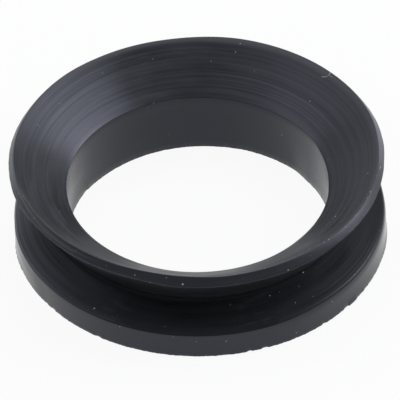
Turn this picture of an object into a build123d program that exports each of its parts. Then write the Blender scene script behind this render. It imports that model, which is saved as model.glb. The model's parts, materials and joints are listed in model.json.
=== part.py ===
from build123d import *
import os
from math import cos, radians, sin, tan

# V-ring shaft seal: one ring moulded in rubber, with a thick body that grips a
# shaft, a thin hinge at the bottom of an outer V groove, and a conical lip that
# leans outwards and runs on a flat counterface square to the shaft.
#
# Millimetres. +Z runs along the shaft, from the flat back face to the lip. The
# origin is on the shaft's axis, in the plane of the back face. The ring is drawn
# free, before it is stretched over a shaft or its lip is pressed back.

# Body, the thick ring round the shaft
bore_radius = 7.0         # free bore, stretched by a shaft of 15.5 to 17.5 mm
section_height = 2.93     # radial height of the body, bore to heel
body_width = 3.4          # bore wall, back face to the mouth of the lip's cone
heel_width = 1.4          # straight outer wall of the heel
flank_angle = 28.0        # rise of the body's front flank towards the hinge

# Hinge, the neck between the groove's root and the bore
hinge_wall = 1.12         # radial wall left under the sharp root of the groove
groove_radius = 0.28      # radius that the mould leaves in the root

# Lip, measured on a radial section
lip_angle = 36.7          # slope of the inner cone, up from the back face's plane
lip_length = 3.32         # inner cone, from the bore to the tip
lip_end_width = 0.58      # cut end face of the lip
lip_end_angle = 57.0      # fall of that end face, down from the back face's plane

# Edges
heel_bevel_height = 0.17  # narrow bevel along the mould's parting line
heel_bevel_depth = 0.11   # how far that bevel steps in from the heel
body_edge_radius = 0.08   # bore and heel edges
lip_edge_radius = 0.07    # both edges of the lip's end face


def along(start, length, angle):
    """Point at a length and an angle in degrees from another, on the section."""
    return (
        start[0] + length * cos(radians(angle)),
        start[1] + length * sin(radians(angle)),
    )


def ring_section():
    """Closed radial section of the ring, X from the axis and Y along it."""
    heel_radius = bore_radius + section_height
    bevel_top = (heel_radius - heel_bevel_depth, heel_width + heel_bevel_height)

    hinge_radius = bore_radius + hinge_wall
    flank_rise = (bevel_top[0] - hinge_radius) * tan(radians(flank_angle))
    groove_root = (hinge_radius, bevel_top[1] + flank_rise)

    mouth = (bore_radius, body_width)
    lip_tip = along(mouth, lip_length, lip_angle)
    lip_back = along(lip_tip, lip_end_width, -lip_end_angle)

    corners = [
        ((bore_radius, 0), body_edge_radius),
        ((heel_radius, 0), body_edge_radius),
        ((heel_radius, heel_width), 0),
        (bevel_top, 0),
        (groove_root, groove_radius),
        (lip_back, lip_edge_radius),
        (lip_tip, lip_edge_radius),
        (mouth, body_edge_radius),
    ]
    outline = FilletPolyline(
        *[point for point, _ in corners],
        radius=[radius for _, radius in corners],
        close=True,
    )
    return make_face(outline)


def v_ring():
    """The whole seal, its section turned once round the shaft's axis."""
    return revolve(Plane.XZ * ring_section(), axis=Axis.Z)


os.makedirs("parts", exist_ok=True)
export_step(v_ring(), "parts/v_ring.step")
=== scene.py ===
import math
import random

import bpy
from mathutils import Matrix, Vector
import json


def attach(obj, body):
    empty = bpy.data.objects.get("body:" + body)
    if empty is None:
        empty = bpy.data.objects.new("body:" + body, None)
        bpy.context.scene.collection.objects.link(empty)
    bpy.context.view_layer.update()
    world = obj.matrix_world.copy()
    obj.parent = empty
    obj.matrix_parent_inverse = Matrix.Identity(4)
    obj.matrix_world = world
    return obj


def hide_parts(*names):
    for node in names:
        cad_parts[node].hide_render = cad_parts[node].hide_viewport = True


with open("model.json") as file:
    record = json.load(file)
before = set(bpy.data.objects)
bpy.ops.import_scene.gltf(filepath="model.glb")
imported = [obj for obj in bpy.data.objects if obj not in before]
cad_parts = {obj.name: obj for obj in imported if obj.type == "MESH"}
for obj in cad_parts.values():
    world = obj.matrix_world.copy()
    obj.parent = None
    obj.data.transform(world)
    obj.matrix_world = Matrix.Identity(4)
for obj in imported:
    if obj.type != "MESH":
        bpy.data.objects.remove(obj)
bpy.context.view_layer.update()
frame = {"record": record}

# ---------------------------------------------------------------------------
# The ring: one moulding in black nitrile rubber, with nothing set into it.
# A thick body grips the shaft; a thin hinge at the bottom of the V groove
# carries the cone-shaped lip. It is shaped as its mould is turned on a lathe,
# one edge loop after another round the axis, and then its corners are eased.
# ---------------------------------------------------------------------------

bore = next(m for m in frame["record"]["mounts"] if m["name"] == "bore")
bore_radius = bore["dims"]["r_mm"] / 1000
mouth_height = 0.0034

heel_radius = bore_radius + 0.00293
heel_height = 0.0014
parting_radius = heel_radius - 0.00011      # narrow bevel on the mould's parting line
parting_height = heel_height + 0.00017

flank_slope = math.radians(28)
groove_radius = bore_radius + 0.00112
groove_height = parting_height + (parting_radius - groove_radius) * math.tan(flank_slope)

lip_slope = math.radians(36.7)
lip_length = 0.00332
tip_radius = bore_radius + lip_length * math.cos(lip_slope)
tip_height = mouth_height + lip_length * math.sin(lip_slope)
end_slope = math.radians(57)                # cut end face of the lip
end_width = 0.00058
end_crown = 0.00001                         # how far that face bulges in its middle
end_loops = 8
end_radius = tip_radius + end_width * math.cos(end_slope)
end_height = tip_height - end_width * math.sin(end_slope)

ring_points = 900

section = [                                 # (radius, height, edge loops on the way there)
    (heel_radius, 0, 6),
    (heel_radius, heel_height, 8),
    (parting_radius, parting_height, 4),
    (groove_radius, groove_height, 8),
    (end_radius, end_height, 8),
]
for loop in range(1, end_loops + 1):
    up_face = loop / end_loops
    bulge = 4 * end_crown * up_face * (1 - up_face)
    section.append((
        end_radius + (tip_radius - end_radius) * up_face + bulge * math.sin(end_slope),
        end_height + (tip_height - end_height) * up_face + bulge * math.cos(end_slope),
        1,
    ))
section += [
    (bore_radius, mouth_height, 12),
    (bore_radius, 0, 8),
]
radius, height, _ = section[-1]
bpy.ops.object.select_all(action="DESELECT")
bpy.ops.mesh.primitive_circle_add(vertices=ring_points, radius=radius, location=(0, 0, height))
ring = bpy.context.object
ring.name = "moulded_ring"
bpy.ops.object.mode_set(mode="EDIT")
for corner_radius, corner_height, loops in section:
    out = (corner_radius - radius) / loops
    up = (corner_height - height) / loops
    for _ in range(loops):
        bpy.ops.mesh.extrude_edges_move(TRANSFORM_OT_translate={"value": (0, 0, up)})
        widen = 1 + out / radius
        bpy.ops.transform.resize(value=(widen, widen, 1), center_override=(0, 0, 0))
        radius += out
    height = corner_height
bpy.ops.mesh.select_all(action="SELECT")
bpy.ops.mesh.remove_doubles(threshold=0.000001)
bpy.ops.mesh.normals_make_consistent(inside=False)
bpy.ops.object.mode_set(mode="OBJECT")


def from_front(x, y):
    """Angle round the ring in degrees, from the front to the right."""
    return math.degrees(math.atan2(x, -y))


def off_edge(point, edge):
    """Distance on the section from a point of the ring to one of its edges."""
    return math.hypot(math.hypot(point.x, point.y) - edge[0], point.z - edge[1])


near_edge = 0.000004                        # a vertex this close lies on the edge


def ease_edge(piece, edge, width, segments):
    """Rounds one edge that runs all the way round the ring."""
    bpy.ops.object.mode_set(mode="EDIT")
    bpy.ops.mesh.select_all(action="DESELECT")
    bpy.ops.object.mode_set(mode="OBJECT")
    for vertex in piece.data.vertices:
        vertex.select = off_edge(vertex.co, edge) < near_edge
    bpy.ops.object.mode_set(mode="EDIT")
    bpy.ops.mesh.bevel(offset=width, segments=segments, profile=0.5, affect="EDGES")
    bpy.ops.object.mode_set(mode="OBJECT")


bore_back = (bore_radius, 0)
heel_back = (heel_radius, 0)
heel_front = (heel_radius, heel_height)
parting_line = (parting_radius, parting_height)
groove_root = (groove_radius, groove_height)
lip_back = (end_radius, end_height)
lip_tip = (tip_radius, tip_height)
mouth = (bore_radius, mouth_height)
rounds = {                                  # edge: (how far its round reaches, segments)
    bore_back: (0.00002, 2),
    heel_back: (0.00003, 2),
    heel_front: (0.00002, 2),
    parting_line: (0.00003, 2),
    groove_root: (0.00026, 6),
    lip_back: (0.000012, 2),
    lip_tip: (0.00004, 3),
    mouth: (0.00002, 2),
}
for edge, (width, segments) in rounds.items():
    ease_edge(ring, edge, width, segments)


def ragged_edge(piece, name, edge, reach, grain, depth):
    """Leaves a trimmed edge uneven, by a cloud pattern that fades out off the edge."""
    near = piece.vertex_groups.new(name=name)
    for vertex in piece.data.vertices:
        away = off_edge(vertex.co, edge) / reach
        if away < 1:
            near.add([vertex.index], 1 - away, "REPLACE")
    clouds = bpy.data.textures.new(name, "CLOUDS")
    clouds.noise_scale = grain
    clouds.noise_depth = 3
    uneven = piece.modifiers.new(name, "DISPLACE")
    uneven.texture = clouds
    uneven.texture_coords = "LOCAL"
    uneven.vertex_group = name
    uneven.strength = depth
    uneven.mid_level = 0.35
    bpy.context.view_layer.objects.active = piece
    bpy.ops.object.modifier_apply(modifier=name)
    piece.vertex_groups.remove(piece.vertex_groups[name])


ragged_edge(ring, "heel_flash", heel_back, reach=0.0001, grain=0.00012, depth=0.00006)
ragged_edge(ring, "bore_flash", bore_back, reach=0.0001, grain=0.0002, depth=0.00004)
ragged_edge(ring, "lip_trim", lip_back, reach=0.0001, grain=0.0004, depth=0.00003)


def smooth(share):
    """Eases a share from 0 to 1 at both ends."""
    return share * share * (3 - 2 * share)


def push_edge(piece, edge, reach, middle, spread, out, up):
    """Pushes a stretch of an edge out and up; it fades off the edge and at both ends.

    middle and spread are angles from the front, in degrees.
    """
    for vertex in piece.data.vertices:
        near = 1 - off_edge(vertex.co, edge) / reach
        turn = (from_front(vertex.co.x, vertex.co.y) - middle + 180) % 360 - 180
        along = 1 - abs(turn) / spread
        if near > 0 and along > 0:
            share = smooth(near) * smooth(min(1, 2 * along))
            outward = Vector((vertex.co.x, vertex.co.y, 0)).normalized()
            vertex.co += (outward * out + Vector((0, 0, up))) * share


def slide_edge(piece, edge, neighbours, middle, spread, out, up):
    """Slides a stretch of an edge; the two faces that meet in it stay straight.

    The neighbours are the edges at the other sides of those faces.
    """
    for vertex in piece.data.vertices:
        turn = (from_front(vertex.co.x, vertex.co.y) - middle + 180) % 360 - 180
        along = 1 - abs(turn) / spread
        if along < 0:
            continue
        outward = Vector((vertex.co.x, vertex.co.y, 0)).normalized()
        shares = []
        for corner in neighbours:
            eased, _ = rounds[corner]
            width = math.hypot(edge[0] - corner[0], edge[1] - corner[1])
            to_edge = off_edge(vertex.co, edge) / width
            to_corner = off_edge(vertex.co, corner) / width
            on_face = to_edge + to_corner < 1.002
            on_edge = to_edge < 0.03
            if on_face or on_edge:
                shares.append(max(0, 1 - to_edge / (1 - eased / width)))
        if shares:
            share = max(shares) * smooth(min(1, 2 * along))
            vertex.co += (outward * out + Vector((0, 0, up))) * share


# The lip's end is trimmed narrower at the left of the front. The free ring isn't
# quite round, and its edges aren't quite even. These shifts are listed one by one.
heel_middle = (heel_radius, heel_height / 2)
bevel_middle = (heel_radius - 0.00006, heel_height + 0.00008)
end_middle = (tip_radius + 0.00012, tip_height - 0.00019)
slides = (                                  # (edge, neighbours, middle, spread, out, up)
    (lip_back, (groove_root, lip_tip), -40, 36, -0.00008, 0.000125),
    (lip_back, (groove_root, lip_tip), 60, 40, -0.00002, 0.00003),
    (lip_tip, (mouth, lip_back), -38, 40, -0.00002, 0.00008),
    (lip_tip, (mouth, lip_back), -90, 24, 0.00004, -0.00006),
    (lip_tip, (mouth, lip_back), 56, 22, 0.00002, -0.00004),
)
for slide in slides:
    slide_edge(ring, *slide)
pushes = (                                  # (edge, reach, middle, spread, out, up)
    (lip_tip, 0.0022, 138, 52, 0.00014, 0),
    (lip_tip, 0.0022, -118, 32, 0.00005, 0),
    (lip_back, 0.0006, 82, 13, -0.00002, 0),
    (lip_tip, 0.001, 22, 25, 0.00006, -0.00003),
    (heel_middle, 0.002, 72, 45, -0.00006, 0),
    (heel_middle, 0.004, -72, 16, 0.00004, 0),
    (heel_front, 0.0007, -80, 25, -0.000028, 0),
    (heel_front, 0.00017, 65, 50, -0.00004, 0),
    (heel_back, 0.0003, -80, 9, 0.000025, 0),
    (heel_back, 0.0003, 83, 9, 0.00002, 0),
    (heel_back, 0.0003, 53.5, 3, 0.00004, 0),
    (bore_back, 0.003, 180, 65, -0.00007, 0),
    (bore_back, 0.003, 110, 26, -0.00007, 0),
    (bore_back, 0.003, 147, 24, 0.00004, 0),
    (bore_back, 0.003, -103, 26, 0.00005, 0),
    (mouth, 0.0015, 30, 75, 0.00002, -0.00003),
    (mouth, 0.0015, 98, 20, -0.00003, 0),
    (mouth, 0.0015, 74, 44, -0.00005, 0),
    (bevel_middle, 0.00005, -52, 40, -0.000025, -0.000015),
    (end_middle, 0.0001, -56, 28, -0.00003, -0.00002),
    (mouth, 0.00018, -166, 9, -0.00002, 0.00003),
)
for push in pushes:
    push_edge(ring, *push)

heel_nicks = (                              # (middle, spread, depth)
    (14, 1, 0.00003),
    (19, 1.2, 0.00003),
    (40, 1, 0.00003),
    (50.3, 1.3, 0.00004),
    (-34, 1, 0.00002),
    (-53, 1, 0.00002),
)
for middle, spread, depth in heel_nicks:
    push_edge(ring, heel_back, 0.00012, middle, spread, -depth, depth)
bore_nicks = (
    (-164, 1.5, 0.00002),
    (-119, 2, 0.00002),
    (168, 2, 0.00002),
)
for middle, spread, depth in bore_nicks:
    push_edge(ring, bore_back, 0.0001, middle, spread, depth, depth)

lean = -0.036                 # the soft ring stands a little askew, its lip to the left
lean_pivot = 0.0027
ring.data.transform(
    Matrix.Translation((0, 0, lean_pivot))
    @ Matrix.Shear("XY", 4, (lean, 0))
    @ Matrix.Translation((0, 0, -lean_pivot))
)
bpy.ops.object.select_all(action="DESELECT")
ring.select_set(True)
bpy.context.view_layer.objects.active = ring
bpy.ops.object.shade_smooth_by_angle(angle=math.radians(35))


# painted highlight: a pale colour laid where the lamps' light falls on the rubber
painted_highlight_colour = (0.076, 0.078, 0.092)
scuff_colour = (0.09, 0.09, 0.10)
# painted sheen: a flat pale colour laid where light falls
painted_sheen_colour = (0.08, 0.08, 0.085)
speck_colour = (0.2, 0.2, 0.19)
mark_width = 0.00005                        # of one tool mark, to each side


def rubber(name, way, tone, roughness, rings, grain, shine=0.52, painted_highlight=(), painted_highlight_rise=None,
           scuffs=(), lit_tool_marks=(), painted_sheen=(), painted_sheen_rise=None, matt=(),
           dim=(), dim_rise=None):
    """Black nitrile rubber, marked by the turning of its mould.

    way is the direction on the section, by radius and by height, that crosses
    the rings. tone is how pale the rubber is, rings how deep its turning marks and
    grain how rough its skin. Each patch of painted highlight, scuffs, painted sheen,
    matt rubber or dim rubber, which shines less, is (angle from the front, spread,
    amount), and each rise is the two places across the rings where a patch starts
    and is full. Painted highlight and painted sheen are pale colour laid where light
    falls on the rubber. Each tool mark, one line round part of the ring, is (place
    across the rings, angle, spread, paleness); a pale line is a painted glint along
    a turning mark, a dark one a painted shade line.
    """
    material = bpy.data.materials.new(name)
    material.use_nodes = True
    nodes, links = material.node_tree.nodes, material.node_tree.links
    shader = nodes["Principled BSDF"]
    shader.inputs["Specular IOR Level"].default_value = shine
    shader.inputs["Specular Tint"].default_value = (0.79, 0.83, 1.0, 1)

    def feed(socket, value):
        if isinstance(value, (int, float)):
            socket.default_value = value
        else:
            links.new(value, socket)

    def maths(operation, *values):
        node = nodes.new("ShaderNodeMath")
        node.operation = operation
        for socket, value in zip(node.inputs, values):
            feed(socket, value)
        return node.outputs[0]

    def noise(vector, scale, detail):
        node = nodes.new("ShaderNodeTexNoise")
        node.inputs["Scale"].default_value = scale
        node.inputs["Detail"].default_value = detail
        links.new(vector, node.inputs["Vector"])
        return node.outputs["Fac"]

    def stretch(value, low, high, top):
        """0 up to low, rising smoothly to top at high."""
        node = nodes.new("ShaderNodeMapRange")
        node.interpolation_type = "SMOOTHSTEP"
        for socket, number in zip(node.inputs[:5], (value, low, high, 0, top)):
            feed(socket, number)
        return node.outputs[0]

    place = nodes.new("ShaderNodeTexCoord").outputs["Object"]
    split = nodes.new("ShaderNodeSeparateXYZ")
    links.new(place, split.inputs[0])
    x, y, z = split.outputs
    x = maths("SUBTRACT", x, maths("MULTIPLY", maths("SUBTRACT", z, lean_pivot), lean))
    from_axis = maths("SQRT", maths("ADD", maths("MULTIPLY", x, x), maths("MULTIPLY", y, y)))
    across = maths("ADD", maths("MULTIPLY", from_axis, way[0]), maths("MULTIPLY", z, way[1]))

    def turned(slow, quick, start):
        """Noise that changes slowly round the ring and quickly across its section."""
        joined = nodes.new("ShaderNodeCombineXYZ")
        feed(joined.inputs[0], maths("MULTIPLY_ADD", x, slow, start))
        feed(joined.inputs[1], maths("MULTIPLY", y, slow))
        feed(joined.inputs[2], maths("MULTIPLY", across, quick))
        return noise(joined.outputs[0], 1, 3)

    def sides(places):
        """Sum of soft patches, each round one angle of the ring."""
        total = 0
        for angle, spread, amount in places:
            turn = math.radians(angle)
            facing = maths("ADD", maths("MULTIPLY", x, math.sin(turn)),
                           maths("MULTIPLY", y, -math.cos(turn)))
            facing = maths("DIVIDE", facing, from_axis)
            patch = stretch(facing, math.cos(math.radians(spread)), 1, amount)
            total = maths("ADD", patch, total)
        return total

    fine = turned(slow=70, quick=11500, start=3)
    broad = turned(slow=45, quick=2600, start=7)
    film = turned(slow=400, quick=1500, start=1)
    skin = noise(place, scale=15000, detail=2)

    relief = maths("ADD", maths("MULTIPLY", fine, rings), maths("MULTIPLY", broad, rings * 0.5))
    relief = maths("MULTIPLY_ADD", skin, grain, relief)
    bump = nodes.new("ShaderNodeBump")
    bump.inputs["Strength"].default_value = 1
    bump.inputs["Distance"].default_value = 0.00001
    links.new(relief, bump.inputs["Height"])
    links.new(bump.outputs[0], shader.inputs["Normal"])

    dull = maths("MULTIPLY_ADD", maths("SUBTRACT", film, 0.5), 0.1 + 0.4 * rings, roughness)
    dull = maths("MULTIPLY_ADD", maths("SUBTRACT", fine, 0.5), 0.2 * rings, dull)
    if matt:
        dull = maths("ADD", dull, sides(matt))
    links.new(dull, shader.inputs["Roughness"])
    if dim:
        faded = maths("MULTIPLY", sides(dim), stretch(across, *dim_rise, 1))
        links.new(maths("MULTIPLY", maths("SUBTRACT", 1, faded), shine),
                  shader.inputs["Specular IOR Level"])

    contrast = min(0.6, 0.2 + rings)
    bloom = nodes.new("ShaderNodeValToRGB")
    for stop, position, level in zip(bloom.color_ramp.elements, (0.35, 0.65),
                                     (tone * (1 - contrast), tone * (1 + contrast))):
        stop.position = position
        stop.color = (0.98 * level, level, 1.1 * level, 1)
    links.new(maths("MULTIPLY_ADD", film, 0.4, maths("MULTIPLY", fine, 0.6)), bloom.inputs[0])
    colour = bloom.outputs[0]

    def layer(under, amount, shade):
        """Lays a lighter colour over the rubber where the amount says."""
        mix = nodes.new("ShaderNodeMix")
        mix.data_type = "RGBA"
        feed(mix.inputs["Factor"], amount)
        links.new(under, mix.inputs["A"])
        mix.inputs["B"].default_value = (*shade, 1)
        return mix.outputs["Result"]

    # Painted highlight: pale colour with fine streaks, laid round the angles where the lamps'
    # light falls.
    if painted_highlight:
        painted_highlight_mask = maths("MULTIPLY", sides(painted_highlight), maths("MULTIPLY_ADD", fine, 3, -0.5))
        if painted_highlight_rise:
            painted_highlight_mask = maths("MULTIPLY", painted_highlight_mask, stretch(across, *painted_highlight_rise, 1))
        colour = layer(colour, painted_highlight_mask, painted_highlight_colour)
    if scuffs:
        smears = turned(slow=1100, quick=3600, start=5)
        marks = maths("MULTIPLY", sides(scuffs), stretch(smears, 0.5, 0.75, 1))
        colour = layer(colour, marks, scuff_colour)
    # Tool marks: lines along the turning marks; pale ones are painted glints, dark ones painted
    # shade lines.
    for place_across, angle, spread, paleness in lit_tool_marks:
        off = maths("ABSOLUTE", maths("SUBTRACT", across, place_across))
        mark = maths("SUBTRACT", 1, stretch(off, 0, mark_width, 1))
        mark = maths("MULTIPLY", mark, sides(((angle, spread, 1),)))
        colour = layer(colour, mark, (paleness, paleness, paleness))
    # Painted sheen: a flat pale colour laid round given angles where light falls on the rubber.
    if painted_sheen:
        painted_sheen_mask = maths("MULTIPLY", sides(painted_sheen), stretch(across, *painted_sheen_rise, 1))
        colour = layer(colour, painted_sheen_mask, painted_sheen_colour)

    cells = nodes.new("ShaderNodeTexVoronoi")
    cells.inputs["Scale"].default_value = 2600
    links.new(place, cells.inputs["Vector"])
    pick = nodes.new("ShaderNodeSeparateColor")
    links.new(cells.outputs["Color"], pick.inputs[0])
    spot = maths("SUBTRACT", 1, stretch(cells.outputs["Distance"], 0.08, 0.16, 1))
    spot = maths("MULTIPLY", spot, stretch(pick.outputs[0], 0.93, 1, 0.8))
    colour = layer(colour, spot, speck_colour)
    links.new(colour, shader.inputs["Base Color"])
    return material


finishes = (
    rubber("rubber_back", way=(1, 0), tone=0.01, roughness=0.45, rings=0.4, grain=0.2),
    rubber("rubber_heel", way=(0, 1), tone=0.01, roughness=0.18, rings=0.05, grain=0.1),
    rubber(
        "rubber_flank", way=(1, -0.5), tone=0.0105, roughness=0.3, rings=0.12, grain=0.06,
        shine=0.25,
        # painted highlight on the outer band of the flank at the left
        painted_highlight=((-82, 42, 0.65),),
        painted_highlight_rise=(0.007, 0.009),
        scuffs=((20, 12, 0.16), (-29, 9, 0.13)),
        # painted glints along turning marks on the flank's lit right side
        lit_tool_marks=(
            (0.0086, 55, 20, 0.035),
            (0.00814, 63, 18, 0.025),
            (0.0076, 60, 14, 0.02),
            (0.00832, 66, 13, 0.02),
            (0.00878, 62, 16, 0.03),
        ),
        dim=((46, 22, 0.5),),
        dim_rise=(0.0083, 0.0078),
    ),
    rubber(
        "rubber_root", way=(0.6, 0.8), tone=0.011, roughness=0.6, rings=0.1, grain=0.05,
        shine=0.06,
    ),
    rubber(
        "rubber_hinge", way=(0.6, 0.8), tone=0.018, roughness=0.3, rings=0.05, grain=0.04,
        shine=0.35,
        # painted highlight on the lip's underside at the front
        painted_highlight=((12, 48, 0.14),),
        painted_highlight_rise=(0.0084, 0.0076),
    ),
    rubber(
        "rubber_lip_end", way=(0.5, -0.8), tone=0.012, roughness=0.4, rings=0.1, grain=0.25,
        # painted highlights at both sides of the lip's end face
        painted_highlight=((106, 27, 1), (-100, 32, 1)),
    ),
    rubber(
        "rubber_cone", way=(0.8, 0.6), tone=0.019, roughness=0.42, rings=0.5, grain=0.15,
        # painted highlights on the cone at the left and right of the back and at the right
        painted_highlight=((-129, 27, 0.9), (143, 35, 0.3), (62, 28, 0.15)),
        painted_highlight_rise=(0.0125, 0.0085),
        scuffs=((-167, 16, 0.1),),
        # painted shade lines at the right of the back, painted glints at the left of the back
        lit_tool_marks=(
            (0.00908, 145, 60, 0.004),
            (0.0086, 135, 50, 0.006),
            (0.0086, -120, 35, 0.035),
            (0.00908, -115, 30, 0.035),
        ),
        # painted sheen near the cone's rim, strongest at the back
        painted_sheen=((15, 38, 0.3), (90, 30, 0.2), (180, 100, 1)),
        painted_sheen_rise=(0.01055, 0.01095),
        matt=((-37, 17, 0.12), (28, 17, 0.1)),
    ),
    rubber(
        "rubber_bore", way=(0, 1), tone=0.005, roughness=0.28, rings=0.05, grain=0.03,
        # painted sheen low in the bore at the right
        painted_sheen=((109, 25, 0.7),),
        painted_sheen_rise=(0.003, 0.0004),
        dim=((-112, 25, 0.16),),
        dim_rise=(0.0008, 0.0024),
    ),
)
for material in finishes:
    ring.data.materials.append(material)
finish_names = [material.name for material in finishes]

root_reach = 0.00027                        # a little more than the root's round
edge_reach = 0.00003                        # as much as the rounds of the body's edges
for face in ring.data.polygons:
    x, y, z = face.center
    outward = Vector((x - lean * (z - lean_pivot), y, 0))
    from_axis = outward.length
    facing_out = face.normal.dot(outward) > 0
    if math.hypot(from_axis - groove_radius, z - groove_height) < root_reach:
        finish = "rubber_root"
    elif from_axis < bore_radius + edge_reach and z < mouth_height:
        finish = "rubber_bore"
    elif z < edge_reach:
        finish = "rubber_back"
    elif z < heel_height + 0.00001 and from_axis > parting_radius:
        finish = "rubber_heel"
    elif z < groove_height and face.normal.z > 0.1:
        finish = "rubber_flank"
    elif face.normal.z < 0.1:
        finish = "rubber_hinge"
    elif facing_out:
        finish = "rubber_lip_end"
    else:
        finish = "rubber_cone"
    face.material_index = finish_names.index(finish)

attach(ring, "root")
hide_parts("v_ring")

# ---------------------------------------------------------------------------
# Dust and lint: pale specks that cling to the rubber, and one short white
# fibre caught on the lip's edge at the right of the back.
# ---------------------------------------------------------------------------

runs = {
    "bore": (mouth, bore_back),
    "cone": (mouth, lip_tip),
    "lip_end": (lip_back, lip_tip),
    "flank": (parting_line, groove_root),
    "heel": (heel_back, heel_front),
    "back": (bore_back, heel_back),
}


def on_ring(run, share, angle):
    """Point on the ring nearest to a place on one face, and its outward normal."""
    (low_radius, low_height), (high_radius, high_height) = runs[run]
    reach = low_radius + (high_radius - low_radius) * share
    z = low_height + (high_height - low_height) * share
    turn = math.radians(angle)
    place = Vector((math.sin(turn) * reach + lean * (z - lean_pivot), -math.cos(turn) * reach, z))
    _, point, normal, _ = ring.closest_point_on_mesh(place)
    return point, normal


chance = random.Random(12)
specks = [                                  # (face, share of its width, angle, radius)
    ("lip_end", 0.3, -5, 0.00005),
    ("lip_end", 0.8, -10, 0.00003),
    ("lip_end", 0.15, -15, 0.000035),
    ("lip_end", 0.6, -20, 0.00003),
    ("lip_end", 0.7, -62, 0.00003),
    ("lip_end", 0.6, -75, 0.00003),
    ("lip_end", 0.9, 43, 0.000035),
    ("lip_end", 0.85, 45, 0.00003),
    ("lip_end", 0.1, 28, 0.000035),
    ("lip_end", 0.8, 53, 0.000025),
    ("lip_end", 0.85, 59, 0.00002),
    ("lip_end", 0.25, 62, 0.00003),
    ("lip_end", 0.9, 71, 0.00003),
    ("lip_end", 0.85, 79, 0.00002),
    ("lip_end", 0.65, 83, 0.00003),
    ("lip_end", 0.6, 84, 0.00004),
    ("flank", 0.1, -36, 0.00005),
    ("flank", 0.75, 25, 0.00003),
    ("flank", 0.97, 41, 0.00004),
    ("flank", 0.02, 56, 0.00003),
    ("flank", 0.05, 78, 0.00002),
    ("flank", 0.3, 32, 0.000025),
    ("heel", 0.95, -26, 0.00003),
    ("heel", 0.95, -9, 0.00003),
    ("heel", 0.75, -2, 0.00003),
    ("heel", 0.7, 7, 0.00004),
    ("heel", 0.85, 44, 0.00003),
    ("bore", 0.4, 140, 0.00006),
    ("cone", 0.45, 62, 0.000045),
    ("cone", 0.54, 66, 0.00002),
    ("cone", 0.8, 82, 0.00003),
    ("cone", 0.45, 132, 0.00004),
    ("cone", 0.95, 165, 0.00003),
    ("cone", 0.8, 166, 0.00003),
    ("cone", 0.55, 158, 0.00002),
    ("cone", 0.3, -70, 0.00003),
]
stray_specks = 46
for _ in range(stray_specks):
    run = chance.choice(list(runs))
    share = chance.uniform(0.05, 0.95)
    specks.append((run, share, chance.uniform(-180, 180), chance.uniform(0.00001, 0.00002)))

bpy.ops.object.select_all(action="DESELECT")
grains = []
for run, share, angle, size in specks:
    point, normal = on_ring(run, share, angle)
    bpy.ops.mesh.primitive_ico_sphere_add(subdivisions=2, radius=size, location=point)
    grain = bpy.context.object
    grain.rotation_mode = "QUATERNION"
    grain.rotation_quaternion = normal.to_track_quat("Z", "Y")
    grain.rotation_quaternion.rotate(Matrix.Rotation(chance.uniform(0, math.pi), 3, normal))
    grain.scale = (1, chance.uniform(0.5, 0.9), 0.45)
    grains.append(grain)
for grain in grains:
    grain.select_set(True)
bpy.ops.object.join()
dust = bpy.context.object
dust.name = "dust"
bpy.ops.object.transform_apply(location=True, rotation=True, scale=True)
bpy.ops.object.shade_smooth()

lint = bpy.data.materials.new("lint")
lint.use_nodes = True
nodes, links = lint.node_tree.nodes, lint.node_tree.links
shader = nodes["Principled BSDF"]
shader.inputs["Roughness"].default_value = 0.9
coordinates = nodes.new("ShaderNodeTexCoord")
mottle = nodes.new("ShaderNodeTexNoise")
mottle.inputs["Scale"].default_value = 30000
links.new(coordinates.outputs["Object"], mottle.inputs["Vector"])
tone = nodes.new("ShaderNodeValToRGB")
tone.color_ramp.elements[0].position = 0.3
tone.color_ramp.elements[0].color = (0.22, 0.21, 0.20, 1)
tone.color_ramp.elements[1].position = 0.7
tone.color_ramp.elements[1].color = (0.75, 0.74, 0.71, 1)
links.new(mottle.outputs["Fac"], tone.inputs[0])
links.new(tone.outputs[0], shader.inputs["Base Color"])
dust.data.materials.append(lint)
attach(dust, "root")

hair = bpy.data.curves.new("hair", "CURVE")
hair.dimensions = "3D"
hair.bevel_depth = 0.000018
hair.bevel_resolution = 2
hair.use_fill_caps = True
clear_of_ring = 0.00002
for thickness, ends in (
    (1, ((0.89, 133.8), (0.905, 133.1), (0.93, 132.3), (0.97, 131.9), (1.03, 131.9))),
    (0.5, ((0.97, 131.9), (0.975, 131.1), (0.985, 130.3))),
):
    strand = hair.splines.new("POLY")
    strand.points.add(len(ends) - 1)
    for point, (share, angle) in zip(strand.points, ends):
        place, normal = on_ring("cone", share, angle)
        point.co = (*(place + normal * clear_of_ring), 1)
        point.radius = thickness
fibre = bpy.data.objects.new("fibre", hair)
bpy.context.collection.objects.link(fibre)
bpy.ops.object.select_all(action="DESELECT")
fibre.select_set(True)
bpy.context.view_layer.objects.active = fibre
bpy.ops.object.convert(target="MESH")
bpy.ops.object.mode_set(mode="EDIT")
bpy.ops.mesh.select_all(action="SELECT")
bpy.ops.mesh.remove_doubles(threshold=0.000001)
bpy.ops.mesh.normals_make_consistent(inside=False)
bpy.ops.object.mode_set(mode="OBJECT")
fibre.data.materials.append(lint)
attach(fibre, "root")

# ---------------------------------------------------------------------------
# The stand: a plain white table top that runs out of sight, which keeps only
# the ring's own soft shadow.
# ---------------------------------------------------------------------------

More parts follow.
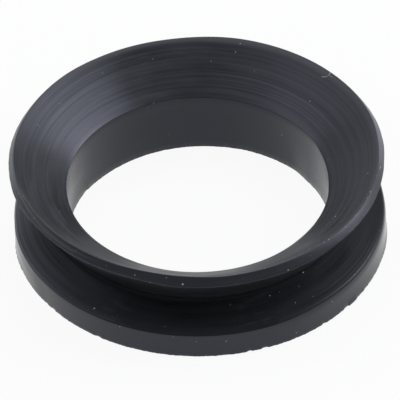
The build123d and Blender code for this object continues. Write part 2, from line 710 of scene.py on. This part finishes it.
bpy.ops.object.select_all(action="DESELECT")
flash_depth = 0.00002                       # the heel's flash reaches this far down
bpy.ops.mesh.primitive_plane_add(size=1.2, location=(0, 0, -flash_depth))
floor = bpy.context.object
floor.name = "table_top"
paper = bpy.data.materials.new("white_paper")
paper.use_nodes = True
nodes, links = paper.node_tree.nodes, paper.node_tree.links
sheet = nodes["Principled BSDF"]
sheet.inputs["Base Color"].default_value = (0.9, 0.9, 0.9, 1)
sheet.inputs["Roughness"].default_value = 1
sheet.inputs["Specular IOR Level"].default_value = 0
glow = nodes.new("ShaderNodeEmission")
glow.inputs["Color"].default_value = (1, 1, 1, 1)
glow.inputs["Strength"].default_value = 1
ray = nodes.new("ShaderNodeLightPath")
seen = nodes.new("ShaderNodeMath")
seen.operation = "MAXIMUM"
links.new(ray.outputs["Is Camera Ray"], seen.inputs[0])
links.new(ray.outputs["Is Glossy Ray"], seen.inputs[1])
bleach = nodes.new("ShaderNodeMath")
bleach.operation = "MULTIPLY"
links.new(seen.outputs[0], bleach.inputs[0])
bleach.inputs[1].default_value = 0.92       # share of plain white; the rest shows shadow
mixed = nodes.new("ShaderNodeMixShader")
links.new(bleach.outputs[0], mixed.inputs[0])
links.new(sheet.outputs[0], mixed.inputs[1])
links.new(glow.outputs[0], mixed.inputs[2])
links.new(mixed.outputs[0], nodes["Material Output"].inputs["Surface"])
floor.data.materials.append(paper)

# ---------------------------------------------------------------------------
# The light: a white tent with round soft boxes, strong ones on the right and
# weaker ones on the left and behind.
# ---------------------------------------------------------------------------

world = bpy.data.worlds.new("light_tent")
bpy.context.scene.world = world
world.use_nodes = True
nodes, links = world.node_tree.nodes, world.node_tree.links
tent = nodes["Background"]
cool_white = (0.94, 0.96, 1)
tent.inputs["Color"].default_value = (*cool_white, 1)
tent.inputs["Strength"].default_value = 0.4
white = nodes.new("ShaderNodeBackground")
white.inputs["Color"].default_value = (1, 1, 1, 1)
white.inputs["Strength"].default_value = 1
ray = nodes.new("ShaderNodeLightPath")
seen = nodes.new("ShaderNodeMixShader")
links.new(ray.outputs["Is Camera Ray"], seen.inputs[0])
links.new(tent.outputs[0], seen.inputs[1])
links.new(white.outputs[0], seen.inputs[2])
links.new(seen.outputs[0], nodes["World Output"].inputs["Surface"])


lamp_distance = 0.4


def soft_lamp(name, turn, rise, spread, brightness):
    """A round soft box that faces the ring.

    turn is its angle from the front, rise its height angle and spread half its
    width, all in degrees; a brightness of 1 is that of white paper.
    """
    turn, rise = math.radians(turn), math.radians(rise)
    place = Vector((math.sin(turn), -math.cos(turn), math.tan(rise))).normalized() * lamp_distance
    bpy.ops.object.light_add(type="AREA", location=place)
    lamp = bpy.context.object
    lamp.name = name
    lamp.rotation_mode = "QUATERNION"
    lamp.rotation_quaternion = place.to_track_quat("Z", "Y")
    lamp.data.shape = "DISK"
    radius = lamp_distance * math.tan(math.radians(spread))
    lamp.data.size = 2 * radius
    lamp.data.color = cool_white
    lamp.data.energy = 1.03 * brightness * math.pi * math.pi * radius * radius
    lamp.visible_camera = False


for name, turn, rise, spread, brightness in (
    ("right_soft_box", 100, 22, 13, 7.0),
    ("right_box_top", 84, 38, 13, 2.5),
    ("right_box_edge", 116, 22, 13, 2.0),
    ("left_soft_box", -104, 24, 13, 1.5),
    ("left_box_top", -84, 44, 13, 1.5),
    ("back_high", 180, 62, 20, 1.5),
    ("back_low", 180, 12, 20, 1.5),
    ("back_low_left", -144, 12, 20, 0.45),
):
    soft_lamp(name, turn, rise, spread, brightness)

# ---------------------------------------------------------------------------
# The camera: a long lens above the front of the table.
# ---------------------------------------------------------------------------

elevation = math.radians(41.3)
camera_distance = 0.6
aim = Vector((0.000053, -0.000126, 0.002357))
back = Vector((0, -math.cos(elevation), math.sin(elevation)))
bpy.ops.object.camera_add(location=aim + back * camera_distance)
camera = bpy.context.object
camera.name = "product_camera"
camera.rotation_mode = "QUATERNION"
camera.rotation_quaternion = back.to_track_quat("Z", "Y")
camera.rotation_quaternion.rotate(Matrix.Rotation(math.radians(-1.2), 3, back))
camera.data.sensor_width = 36
camera.data.lens = 1015
camera.data.clip_start = 0.01
camera.data.clip_end = 10
bpy.context.scene.camera = camera

bpy.context.scene.view_settings.view_transform = "Standard"
